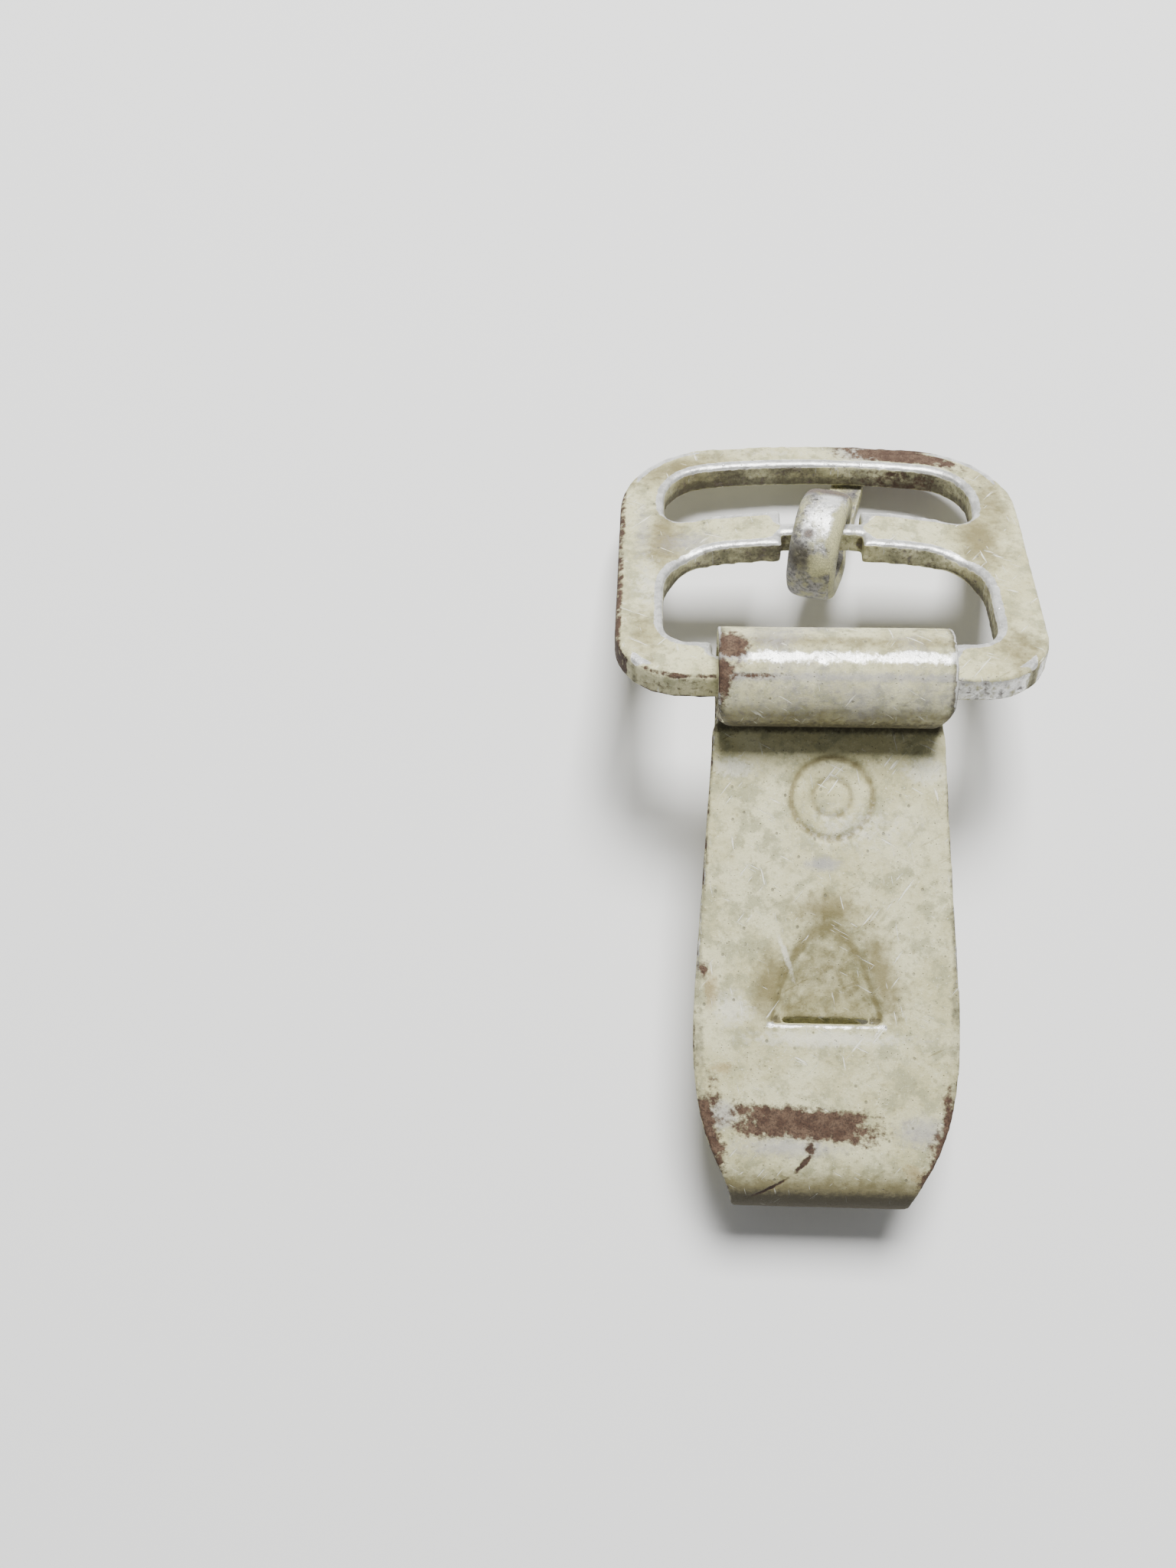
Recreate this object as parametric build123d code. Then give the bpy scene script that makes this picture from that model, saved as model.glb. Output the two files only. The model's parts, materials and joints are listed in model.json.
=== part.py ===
from build123d import *
from math import asin, atan2, cos, degrees, hypot, radians, sin
import os

# A strap buckle with a hinged hook, in millimetres. Three pieces: a stamped frame, a hook plate whose
# end is rolled round the frame's front bar, and a tongue curled round the frame's middle bar.
# Each piece is drawn flat, with the hook's hinge axis at the origin, X along the axis, Y away from the
# hook and Z up. At the end the pieces are set on their feet: the hook's bend and the tongue's tip.

# Frame
frame_width = 34.0
frame_thickness = 2.3
front_bar_width = 4.3
side_bar_width = 3.8
lower_window_length = 11.5
middle_bar_width = 4.6
upper_window_length = 8.2
far_bar_width = 3.1
far_edge_bow = 2.1  # how far the far edge bulges, from side to side
upper_window_bow = 1.5
near_corner_radius = 5.5
far_corner_radius = 9.0
lower_window_near_radius = 2.2
lower_window_far_radius = 5.0
upper_window_near_radius = 1.4
upper_window_far_radius = 4.5
top_edge_round = 0.45
bottom_edge_round = 0.2

# Hinge neck in the front bar, and the neck in the middle bar that carries the tongue
hinge_neck_width = 2.6
hinge_neck_shoulder_gap = 0.35  # on each side of the barrel
neck_corner_round = 0.5
middle_bar_rise = 1.0  # of its crown above the frame's top face
middle_bar_dip = 0.25  # of its ends below the frame's top face
middle_bar_thickness = 2.05
middle_bar_root = 1.0  # side bar material left flat beside each end of the arch
middle_bar_embed = 0.4
neck_edge_round = 0.35
tongue_neck_length = 6.8
tongue_neck_near_cut = 1.4
tongue_neck_far_cut = 1.8

# Hook plate, of one sheet
sheet_thickness = 1.25
barrel_outer_radius = 3.85
barrel_length = 17.9
curl_end_angle = 215.0  # where the curl stops, counted from straight up the frame over the top
curl_corner_radius = 1.5
plate_root_half_width = 9.1
plate_widest_half_width = 10.15
plate_widest_at = 22.0  # from the hinge axis
plate_bend_half_width = 9.0
plate_root_flare = 0.05  # sideways run of each edge per length, widening from the barrel
plate_bend_taper = 0.1  # and narrowing at the bend's front
bend_centre_at = 36.4
bend_outer_radius = 5.6
bend_front_half_width = 7.0
hook_bottom_half_width = 6.2
hook_bottom_taper = 0.1
hook_leg_length = 9.5
hook_leg_flare = 4.0  # degrees that the leg opens away from the plate
hook_tip_half_width = 4.8
hook_tip_radius = 3.4

# Bump pressed into the plate towards the hook's leg, open on the side facing the bend
bump_apex_at = 17.9
bump_slit_at = 26.9
bump_depth = 2.4
bump_radius = 5.8
bump_slit_gap = 0.3

# Tongue
tongue_width = 4.2
tongue_thickness = 2.1
loop_inner_radius = 2.5
loop_drop = 0.6  # the loop hangs this far below the middle bar's own centre
loop_slack = 0.3  # and lies this far towards the hook from it
loop_end_angle = -27.0
loop_bevel = 24.0  # degrees between the loop end's outer and inner corners
tongue_reach = 13.6  # from the loop's centre to the tip
tongue_tip_width = 2.7
tongue_tip_thickness = 1.6
tongue_tip_radius = 0.8
tongue_neck_in = 5.0  # where the tongue has narrowed to its shank width
tongue_shank_width = 3.1
tongue_tip_gap = 0.2  # under the far bar
tongue_skew = 16.0  # degrees that the tongue is turned on its bar, towards +X
tongue_edge_round = 0.5

# Pose: the hook is folded down from the frame's plane by this angle
fold_angle = 41.0

# Worked-out sizes
barrel_inner_radius = barrel_outer_radius - sheet_thickness
half_thickness = frame_thickness / 2
front_edge = -hinge_neck_width / 2
lower_window_start = front_edge + front_bar_width
lower_window_end = lower_window_start + lower_window_length
upper_window_start = lower_window_end + middle_bar_width
upper_window_end = upper_window_start + upper_window_length
far_edge = upper_window_end + far_bar_width
window_half_width = frame_width / 2 - side_bar_width
arch_half_width = window_half_width - middle_bar_root
notch_half_length = barrel_length / 2 + hinge_neck_shoulder_gap
neck_near_edge = lower_window_end + tongue_neck_near_cut
neck_far_edge = upper_window_start - tongue_neck_far_cut
neck_centre_y = (neck_near_edge + neck_far_edge) / 2
neck_centre_z = half_thickness + middle_bar_rise - middle_bar_thickness / 2
loop_outer_radius = loop_inner_radius + tongue_thickness
loop_centre_y = neck_centre_y - loop_slack
loop_centre_z = neck_centre_z - loop_drop
bend_inner_radius = bend_outer_radius - sheet_thickness
bend_centre_z = -barrel_inner_radius - bend_outer_radius
cut_margin = 0.05  # keeps a cutting shape off the faces that it passes
REACH = 100.0  # longer than any piece, for cutting shapes
curl_middle_angle = (curl_end_angle - 90.0) / 2
loop_middle_angle = (270.0 + loop_end_angle) / 2


def polar(radius, angle, centre=(0, 0)):
    """A point of the side view, angle in degrees from +Y towards +Z."""
    return (centre[0] + radius * cos(radians(angle)), centre[1] + radius * sin(radians(angle)))


def side_solid(outline, width):
    """A solid of the given width along X, centred, from an outline drawn in (Y, Z)."""
    return extrude(Plane.YZ * make_face(outline), width / 2, both=True)


def prism(sketch):
    """A plan shape stood up through everything."""
    return extrude(sketch, REACH, both=True)


def bowed_rectangle(half_width, low, high, bow, low_radius, high_radius):
    """A rectangle whose high edge bulges by bow, with rounded corners."""
    shoulder = high - bow
    sketch = make_face([
        Line((-half_width, low), (half_width, low)),
        Line((half_width, low), (half_width, shoulder)),
        ThreePointArc((half_width, shoulder), (0, high), (-half_width, shoulder)),
        Line((-half_width, shoulder), (-half_width, low)),
    ])
    corners = sketch.vertices().sort_by(Axis.Y)
    sketch = fillet(corners[:2], low_radius)
    corners = sketch.vertices().sort_by(Axis.Y)
    return fillet(corners[-2:], high_radius)


def lower_window():
    """The window next to the front bar, with the notch that leaves the hinge neck."""
    middle = (lower_window_start + lower_window_end) / 2
    window = Pos(0, middle) * RectangleRounded(
        2 * window_half_width, lower_window_length, lower_window_near_radius)
    far_corners = Pos(0, lower_window_end - lower_window_far_radius) * Rectangle(
        frame_width, lower_window_far_radius, align=(Align.CENTER, Align.MIN))
    round_far = Pos(0, middle) * RectangleRounded(
        2 * window_half_width, lower_window_length, lower_window_far_radius)
    window = (window - far_corners) + (round_far & far_corners)
    neck_edge = front_edge + hinge_neck_width
    notch = Pos(0, neck_edge) * Rectangle(
        2 * notch_half_length, middle - neck_edge, align=(Align.CENTER, Align.MIN))
    window = window + notch
    steps = window.vertices().filter_by(
        lambda v: abs(abs(v.X) - notch_half_length) < neck_corner_round / 10)
    return fillet(steps, neck_corner_round)


def upper_window():
    """The window next to the far bar."""
    return bowed_rectangle(
        window_half_width, upper_window_start, upper_window_end, upper_window_bow,
        upper_window_near_radius, upper_window_far_radius)


def bar_region(half_length):
    """The plan shape between the two windows, out to the given half length."""
    low = lower_window_end - lower_window_far_radius
    high = upper_window_start + upper_window_near_radius
    strip = Pos(0, low) * Rectangle(2 * half_length, high - low, align=(Align.CENTER, Align.MIN))
    return strip - lower_window() - upper_window()


def frame_plate():
    """The flat plate with its windows and rounded edges, open where the arched bar goes."""
    outline = bowed_rectangle(
        frame_width / 2, front_edge, far_edge, far_edge_bow, near_corner_radius, far_corner_radius)
    plate = Pos(0, 0, -half_thickness) * extrude(outline - lower_window() - upper_window(), frame_thickness)
    plate = fillet(plate.faces().sort_by(Axis.Z)[-1].edges(), top_edge_round)
    plate = fillet(plate.faces().sort_by(Axis.Z)[0].edges(), bottom_edge_round)
    low = (lower_window_start + lower_window_end) / 2
    high = (upper_window_start + upper_window_end) / 2
    bar_gap = Pos(0, low) * Box(
        2 * arch_half_width, high - low, REACH, align=(Align.CENTER, Align.MIN, Align.CENTER))
    return plate - bar_gap


def middle_bar():
    """The arched bar between the windows, with the neck that the tongue turns on."""
    half_span = arch_half_width + middle_bar_embed
    end_top = half_thickness - middle_bar_dip
    crown = half_thickness + middle_bar_rise
    end_bottom = end_top - middle_bar_thickness
    outline = [
        ThreePointArc((-half_span, end_top), (0, crown), (half_span, end_top)),
        Line((half_span, end_top), (half_span, end_bottom)),
        ThreePointArc((half_span, end_bottom), (0, crown - middle_bar_thickness), (-half_span, end_bottom)),
        Line((-half_span, end_bottom), (-half_span, end_top)),
    ]
    arch = extrude(Plane.XZ * make_face(outline), REACH, both=True)
    near_notch = Pos(0, neck_near_edge) * Rectangle(
        tongue_neck_length, middle_bar_width, align=(Align.CENTER, Align.MAX))
    far_notch = Pos(0, neck_far_edge) * Rectangle(
        tongue_neck_length, middle_bar_width, align=(Align.CENTER, Align.MIN))
    plan = bar_region(half_span) - near_notch - far_notch
    bar = arch & prism(plan)
    top = bar.faces().filter_by(GeomType.CYLINDER).sort_by(Axis.Z)[-1]
    long_edges = top.edges().filter_by(lambda e: abs(e.center().X) < half_span - middle_bar_embed)
    return fillet(long_edges, neck_edge_round)


def make_frame():
    """The stamped frame: its plate and the arched bar between the windows."""
    return frame_plate() + middle_bar()


def hook_profile():
    """Side view of the hook sheet: barrel, plate, bend and leg, in one closed outline."""
    bend = (-bend_centre_at, bend_centre_z)
    last = -90.0 - hook_leg_flare
    leg_direction = (cos(radians(-hook_leg_flare)), sin(radians(-hook_leg_flare)))

    def leg_point(radius):
        start = polar(radius, last, bend)
        return (start[0] + hook_leg_length * leg_direction[0], start[1] + hook_leg_length * leg_direction[1])

    curl_out = polar(barrel_outer_radius, curl_end_angle)
    curl_in = polar(barrel_inner_radius, curl_end_angle)
    return [
        ThreePointArc(curl_out, polar(barrel_outer_radius, curl_middle_angle), (0, -barrel_outer_radius)),
        Line((0, -barrel_outer_radius), (-bend_centre_at, -barrel_outer_radius)),
        ThreePointArc((-bend_centre_at, -barrel_outer_radius), polar(bend_inner_radius, 180, bend),
                      polar(bend_inner_radius, last, bend)),
        Line(polar(bend_inner_radius, last, bend), leg_point(bend_inner_radius)),
        Line(leg_point(bend_inner_radius), leg_point(bend_outer_radius)),
        Line(leg_point(bend_outer_radius), polar(bend_outer_radius, last, bend)),
        ThreePointArc(polar(bend_outer_radius, last, bend), polar(bend_outer_radius, 180, bend),
                      (-bend_centre_at, -barrel_inner_radius)),
        Line((-bend_centre_at, -barrel_inner_radius), (0, -barrel_inner_radius)),
        ThreePointArc((0, -barrel_inner_radius), polar(barrel_inner_radius, curl_middle_angle), curl_in),
        Line(curl_in, curl_out),
    ]


def mirrored_outline(right_side):
    """A closed outline from a right-hand curve and its mirror image."""
    left_side = mirror(right_side, Plane.YZ)
    return [right_side, left_side, Line(right_side @ 0, left_side @ 0), Line(right_side @ 1, left_side @ 1)]


def barrel_zone():
    """Everything within the barrel's length, with the curl's free corners rounded off."""
    reach = barrel_outer_radius + cut_margin
    seam = -barrel_inner_radius + cut_margin
    plan = Rectangle(barrel_length, 2 * reach)
    plan = fillet(plan.vertices().sort_by(Axis.Y)[:2], curl_corner_radius)
    above = Pos(0, 0, seam) * extrude(plan, 2 * reach)
    below = Pos(0, 0, seam) * Box(
        barrel_length, 2 * reach, 2 * reach, align=(Align.CENTER, Align.CENTER, Align.MAX))
    return above + below


def flat_zone():
    """The plan shape of the plate, from under the barrel to the bend's front."""
    front = bend_centre_at + bend_outer_radius
    side = Spline(
        [(plate_root_half_width, -barrel_outer_radius), (plate_widest_half_width, -plate_widest_at),
         (plate_bend_half_width, -bend_centre_at), (bend_front_half_width, -front)],
        tangents=[(plate_root_flare, -1), (-plate_bend_taper, -1)])
    return prism(make_face(mirrored_outline(side)))


def bend_zone():
    """The front shape of the bend and leg: narrower the lower they are."""
    bottom = bend_centre_z - bend_outer_radius
    side = Spline(
        [(plate_bend_half_width, -barrel_inner_radius), (bend_front_half_width, bend_centre_z),
         (hook_bottom_half_width, bottom)],
        tangents=[(0, -1), (-hook_bottom_taper, -1)])
    foot = bottom - sheet_thickness
    left = mirror(side, Plane.YZ)
    outline = [side, left, Line(side @ 0, left @ 0), Line(side @ 1, (hook_bottom_half_width, foot)),
               Line((hook_bottom_half_width, foot), (-hook_bottom_half_width, foot)),
               Line((-hook_bottom_half_width, foot), left @ 1)]
    return extrude(Plane.XZ * make_face(outline), REACH, both=True)


def leg_zone():
    """The plan shape of the leg below the bend's centre, with a rounded tip."""
    tip = -bend_centre_at + hook_leg_length
    start = -bend_centre_at
    wide = plate_widest_half_width
    outline = make_face(Polyline(
        (-wide, start - 2 * bend_outer_radius), (wide, start - 2 * bend_outer_radius),
        (wide, start), (hook_bottom_half_width, start), (hook_tip_half_width, tip),
        (-hook_tip_half_width, tip), (-hook_bottom_half_width, start), (-wide, start), close=True))
    corners = outline.vertices().sort_by(Axis.Y)[-2:]
    outline = fillet(corners, hook_tip_radius)
    return prism(outline)


def hook_blank():
    """The rolled and bent sheet, cut to its outline."""
    solid = side_solid(hook_profile(), REACH)
    in_front = Pos(0, -bend_centre_at, 0) * Box(
        REACH, REACH, REACH, align=(Align.CENTER, Align.MAX, Align.CENTER))
    under = Pos(0, -REACH / 2, bend_centre_z) * Box(
        REACH, REACH, REACH, align=(Align.CENTER, Align.CENTER, Align.MAX))
    root = Pos(0, -barrel_outer_radius, 0) * Box(
        REACH, REACH, REACH, align=(Align.CENTER, Align.MIN, Align.CENTER))
    barrel = (solid & root & barrel_zone()) - under
    flat = ((solid - root) - in_front - under) & flat_zone()
    bend = (solid & in_front & bend_zone() & flat_zone()) - under
    leg = solid & under & bend_zone() & leg_zone()
    return barrel + flat + bend + leg


def bump_cylinder(radius):
    """A cylinder that enters the plate's top face at the apex and sinks towards the slit."""
    slope = degrees(atan2(bump_depth, bump_slit_at - bump_apex_at))
    tube = Cylinder(radius, REACH, align=(Align.CENTER, Align.CENTER, Align.CENTER))
    lying = Pos(0, 0, bump_radius) * Rot(90, 0, 0) * tube
    return Pos(0, -bump_apex_at, -barrel_inner_radius) * Rot(slope, 0, 0) * lying


def bump_room(end):
    """The space that the bump may take, from just before its apex to the given distance."""
    start = bump_apex_at - bump_slit_gap
    return Pos(0, -start, -barrel_inner_radius) * Box(
        2 * plate_root_half_width, end - start, 2 * bend_outer_radius,
        align=(Align.CENTER, Align.MAX, Align.CENTER))


def add_bump(hook):
    """Presses the half-round bump down through the plate and opens its slit."""
    below_plate = Pos(0, 0, -barrel_inner_radius) * Box(
        REACH, REACH, REACH, align=(Align.CENTER, Align.CENTER, Align.MAX))
    hollow = bump_cylinder(bump_radius)
    skin = bump_cylinder(bump_radius + sheet_thickness) - hollow
    skin = skin & below_plate & bump_room(bump_slit_at - bump_slit_gap)
    return (hook - (hollow & bump_room(bump_slit_at))) + skin


def make_hook():
    """The hook plate, with its bump."""
    return add_bump(hook_blank())


def tongue_profile():
    """Side view of the tongue about its loop's centre: shank, tip and curled loop."""
    tip_top = -half_thickness - tongue_tip_gap - loop_centre_z
    tip_bottom = tip_top - tongue_tip_thickness
    ahead = (1, 0)
    end_inner = loop_end_angle + loop_bevel
    outer_end = polar(loop_outer_radius, loop_end_angle)
    inner_end = polar(loop_inner_radius, end_inner)
    return [
        TangentArc((0, -loop_outer_radius), (tongue_reach, tip_bottom), tangent=ahead),
        Line((tongue_reach, tip_bottom), (tongue_reach, tip_top)),
        TangentArc((0, -loop_inner_radius), (tongue_reach, tip_top), tangent=ahead),
        ThreePointArc((0, -loop_inner_radius), polar(loop_inner_radius, loop_middle_angle), inner_end),
        Line(inner_end, outer_end),
        ThreePointArc(outer_end, polar(loop_outer_radius, loop_middle_angle), (0, -loop_outer_radius)),
    ]


def tongue_plan():
    """Plan shape of the tongue about its loop's centre."""
    half = tongue_width / 2
    shank = tongue_shank_width / 2
    tip = tongue_tip_width / 2
    back = -loop_outer_radius - cut_margin
    outline = make_face(Polyline(
        (-half, back), (half, back), (half, loop_outer_radius / 2), (shank, tongue_neck_in),
        (tip, tongue_reach), (-tip, tongue_reach), (-shank, tongue_neck_in), (-half, loop_outer_radius / 2),
        close=True))
    return fillet(outline.vertices().sort_by(Axis.Y)[-2:], tongue_tip_radius)


def make_tongue():
    """The tongue, turned on its bar and placed in the frame."""
    loop = side_solid(tongue_profile(), tongue_width)
    outer = loop.faces().filter_by(GeomType.CYLINDER).sort_by(SortBy.AREA)[-1]
    loop = fillet(outer.edges().filter_by(GeomType.CIRCLE), tongue_edge_round)
    body = loop & prism(tongue_plan())
    return Pos(0, loop_centre_y, loop_centre_z) * Rot(0, 0, -tongue_skew) * body


def frame_slope():
    """The frame's slope when the bend and the tongue's tip stand on one level, in degrees."""
    skewed_reach = tongue_reach * cos(radians(tongue_skew))
    foot_y = loop_centre_y + skewed_reach
    foot_z = half_thickness + tongue_tip_gap + tongue_tip_thickness
    fold = radians(fold_angle)
    bend_depth = barrel_inner_radius + bend_outer_radius
    along = foot_y + bend_centre_at * cos(fold) - bend_depth * sin(fold)
    across = foot_z - bend_centre_at * sin(fold) - bend_depth * cos(fold)
    return degrees(asin(bend_outer_radius / hypot(along, across)) - atan2(across, along))


def main():
    slope = frame_slope()
    frame_pose = Rot(-slope, 0, 0)
    hook_pose = Rot(fold_angle - slope, 0, 0)
    nodes = {
        "buckle_frame": frame_pose * make_frame(),
        "tongue": frame_pose * make_tongue(),
        "hook_plate": hook_pose * make_hook(),
    }
    box = Compound([solid for shape in nodes.values() for solid in shape.solids()]).bounding_box()
    lift = Pos(-box.center().X, -box.center().Y, -box.min.Z)
    os.makedirs("parts", exist_ok=True)
    for name, shape in nodes.items():
        placed = lift * shape.solid()
        placed.label = name
        export_step(placed, f"parts/{name}.step")
    hinge = lift.position
    pivot = (lift * frame_pose * Pos(0, loop_centre_y, loop_centre_z)).position
    print("hook hinge at", hinge, "tongue pivot at", pivot)
    print("frame slope", slope, "hook slope", fold_angle - slope)


main()
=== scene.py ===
import json
from math import atan2, cos, radians, sin

import bpy
import numpy as np
from mathutils import Matrix, Vector, noise


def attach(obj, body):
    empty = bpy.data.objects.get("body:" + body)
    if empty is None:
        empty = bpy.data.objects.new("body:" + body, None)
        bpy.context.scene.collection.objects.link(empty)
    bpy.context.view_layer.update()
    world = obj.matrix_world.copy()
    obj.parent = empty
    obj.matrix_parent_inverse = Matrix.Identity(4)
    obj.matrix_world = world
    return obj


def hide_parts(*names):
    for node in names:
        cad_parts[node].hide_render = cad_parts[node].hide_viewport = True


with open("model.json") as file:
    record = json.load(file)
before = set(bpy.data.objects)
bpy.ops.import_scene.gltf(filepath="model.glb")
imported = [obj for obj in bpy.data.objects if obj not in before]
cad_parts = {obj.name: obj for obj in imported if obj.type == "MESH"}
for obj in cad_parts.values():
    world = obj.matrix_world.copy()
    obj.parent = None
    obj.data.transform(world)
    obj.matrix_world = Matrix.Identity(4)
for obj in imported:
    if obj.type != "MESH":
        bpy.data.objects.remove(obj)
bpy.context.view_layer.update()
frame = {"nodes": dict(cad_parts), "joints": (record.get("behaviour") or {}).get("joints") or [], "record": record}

# Looks of a worn strap buckle with a hinged hook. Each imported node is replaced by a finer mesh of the
# same shape, built flat in its own local frame, in millimetres: the hinge axis or loop centre is the
# origin, X runs along the hinge, Y away from the hook and Z up out of the plate.

MM = 0.001
JOINTS = {joint["name"]: joint for joint in frame["joints"]}
MOUNTS = {mount["name"]: mount for mount in frame["record"]["mounts"]}

# Driving sizes of the object that the finish follows, in millimetres and degrees
FRAME_HALF_WIDTH = 17.0
FRAME_FRONT = -1.3
FRAME_FAR = 30.4
BAR_END = 12.2
BAR_MIDDLE = 16.8
FOLD_ANGLE = 41.0
PLATE_TOP = -2.6
PLATE_RUNS = (0.0, 12.0, 22.0, 31.0, 36.4, 40.0, 45.0)
PLATE_HALF_WIDTHS = (9.1, 9.7, 10.15, 9.8, 9.0, 8.2, 6.9)
BARREL_RADIUS = 3.85
BEND_CENTRE = (-36.4, -8.2)
BEND_RADIUS = 5.6
BEND_INSIDE = 5.2
SLIT_RUN = 27.0
LOOP_INSIDE = 3.8

# Mesh work: face size in millimetres, kept coarse enough for the export to take each piece undecimated,
# and rounds of smoothing
FRAME_VOXEL = 0.15
FRAME_SMOOTHING = 6
BAR_END_ROUNDS = 40
PLATE_VOXEL = 0.19
PLATE_SMOOTHING = 6
TONGUE_VOXEL = 0.11
TONGUE_SMOOTHING = 7
LOOP_ROUNDS = 110
CURVATURE_ROUNDS = 5
RIM_ROUNDS = 8

# The plain ring pressed into the plate, in millimetres
RING_CENTRE = (0.3, -9.2)
RING_OUTER = 3.2
RING_OUTER_WIDTH = 0.3
RING_INNER = 1.5
RING_INNER_WIDTH = 0.26
RING_DEPTH = 0.26

# Camera, at the photographed viewing angle
CAMERA_AIM = Vector((-0.01963, 0.00234, 0.0))
CAMERA_AZIMUTH = -13.42
CAMERA_ELEVATION = 78.66
CAMERA_ROLL = -12.33
CAMERA_DISTANCE = 0.13658
CAMERA_LENS = 35.14
CAMERA_SENSOR = 36.0
CAMERA_NEAR = 0.005

# Floor and light; lengths in metres, light powers in watts
FLOOR_HALF = 2.0
FLOOR_DROP = 0.00005
FLOOR_COLOUR = (0.86, 0.86, 0.85, 1.0)
WORLD_COLOUR = (1.0, 1.0, 1.0, 1.0)
WORLD_STRENGTH = 0.2

# Soft spots of the finish, each as strength, centre, radii and turn in degrees. On the frame a centre is
# x and y. On the plate it is x and the run along the sheet from the hinge. On the barrel and the tongue it
# is x and the degrees round the curl.
FRAME_RUST = (
    (1.0, (8.4, 29.0), (5.6, 2.5), -8.0),
)
FRAME_STAINS = (
    (1.05, (13.2, 16.2), (1.5, 3.4), 0.0),
    (1.05, (-13.2, 16.0), (1.4, 3.6), 0.0),
    (0.85, (-12.0, 26.4), (5.5, 1.6), 22.0),
    (0.75, (14.8, 21.5), (1.5, 5.0), 0.0),
    (0.75, (14.6, 2.0), (2.0, 3.0), 0.0),
    (0.6, (-14.6, 4.0), (1.6, 3.6), 0.0),
)
FRAME_WORN = (
    (0.6, (-14.5, 10.0), (1.6, 4.0), 0.0),
    (0.5, (-3.0, 29.0), (6.0, 0.9), 0.0),
)
FRAME_VIOLET = (
    (0.75, (-11.0, 15.5), (2.4, 1.6), 0.0),
    (1.0, (4.6, 29.2), (2.4, 1.5), 0.0),
    (0.6, (-15.0, 17.0), (0.8, 5.0), 0.0),
)
PLATE_EDGE_RUST = (
    (1.0, (-9.0, 39.0), (1.1, 6.5), 0.0),
    (1.1, (8.9, 40.0), (0.9, 4.5), 0.0),
    (1.0, (8.2, 39.2), (0.9, 1.2), 0.0),
    (1.0, (-9.3, 34.6), (0.7, 2.2), 0.0),
    (0.9, (-9.6, 22.9), (0.4, 0.7), 0.0),
    (0.8, (9.4, 34.0), (0.5, 3.0), 0.0),
)
PLATE_CRACKS = (
    (1.0, (-4.3, 40.2), (1.6, 0.16), -38.0),
    (1.0, (-1.6, 37.6), (1.2, 0.22), -52.0),
    (1.0, (-1.2, 36.6), (0.45, 0.6), 0.0),
)
# Khaki spots round the pressed bump: partly stain, partly painted shade on the hollow's walls
BUMP_STAINS_AND_SHADE = (
    (1.0, (0.0, 18.0), (2.4, 1.2), 0.0),
    (1.0, (-4.4, 24.0), (1.3, 2.6), 14.0),
    (1.0, (4.2, 22.8), (1.2, 3.2), -16.0),
    (0.62, (0.0, 22.6), (3.4, 4.0), 0.0),
)
# Chalky worn patches on the plate; the two ovals just below the barrel and the thin streak on the bump's left
# slope are painted highlights
PLATE_WORN_AND_HIGHLIGHTS = (
    (0.8, (-7.4, 6.9), (1.9, 0.9), 0.0),
    (0.8, (7.6, 7.0), (1.8, 1.1), 0.0),
    (0.8, (-7.3, 25.9), (1.6, 1.3), 0.0),
    (0.8, (0.0, 28.0), (6.5, 0.7), 0.0),
    (0.55, (2.0, 11.5), (6.0, 2.5), 0.0),
    (1.0, (-3.2, 21.6), (0.2, 1.7), -20.0),
)
PLATE_VIOLET = (
    (1.0, (-0.3, 14.4), (1.3, 0.5), 0.0),
    (1.0, (-8.0, 34.0), (1.1, 1.0), 0.0),
    (0.9, (7.4, 35.0), (1.8, 1.1), 0.0),
    (0.8, (-3.0, 36.4), (4.5, 0.8), 0.0),
)
PLATE_OCHRE = (
    (1.0, (7.0, 38.3), (0.9, 0.5), 30.0),
    (1.0, (-9.0, 24.5), (0.5, 1.4), 0.0),
    (1.0, (-8.1, 30.4), (0.8, 0.4), 0.0),
)
BARREL_RUST = (
    (1.0, (-8.0, 60.0), (1.3, 22.0), 0.0),
    (1.0, (-8.7, 95.0), (0.8, 30.0), 0.0),
    (0.7, (-6.4, 96.0), (3.0, 4.0), 0.0),
)
BARREL_OCHRE = (
    (0.8, (-8.4, 62.0), (1.0, 10.0), 0.0),
)
TONGUE_BRIGHT = (
    (1.0, (0.3, 118.0), (1.3, 26.0), 0.0),
    (1.0, (0.6, 90.0), (1.0, 12.0), 0.0),
)
TONGUE_RUST = (
    (1.0, (-0.4, 66.0), (2.6, 13.0), 0.0),
    (0.9, (-0.5, 134.0), (0.5, 6.0), 0.0),
)
TONGUE_PAINT = (
    (1.05, (1.7, 128.0), (0.75, 38.0), 0.0),
    (1.0, (0.8, 165.0), (1.2, 14.0), 0.0),
)
TONGUE_GRIME = (
    (1.0, (-0.9, 160.0), (1.0, 14.0), 0.0),
)


# ---------------------------------------------------------------- local frames

def local_frames():
    """The matrix that takes each node's flat local frame, in millimetres, to its place at rest."""
    hinge = Vector(JOINTS["hook_pivot"]["pos_m"])
    pivot = Vector(JOINTS["tongue_pivot"]["pos_m"])
    normal = MOUNTS["near_strap_slot"]["axis"]
    slope = atan2(normal[1], normal[2])
    to_millimetres = Matrix.Scale(MM, 4)
    frame_turn = Matrix.Rotation(-slope, 4, "X")
    hook_turn = Matrix.Rotation(radians(FOLD_ANGLE) - slope, 4, "X")
    tongue_axis = Matrix.Rotation(slope, 3, "X") @ Vector(JOINTS["tongue_pivot"]["axis"])
    skew = Matrix.Rotation(atan2(tongue_axis.y, tongue_axis.x), 4, "Z")
    return {
        "buckle_frame": Matrix.Translation(hinge) @ frame_turn @ to_millimetres,
        "hook_plate": Matrix.Translation(hinge) @ hook_turn @ to_millimetres,
        "tongue": Matrix.Translation(pivot) @ frame_turn @ skew @ to_millimetres,
    }


# ---------------------------------------------------------------- mesh work

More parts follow.
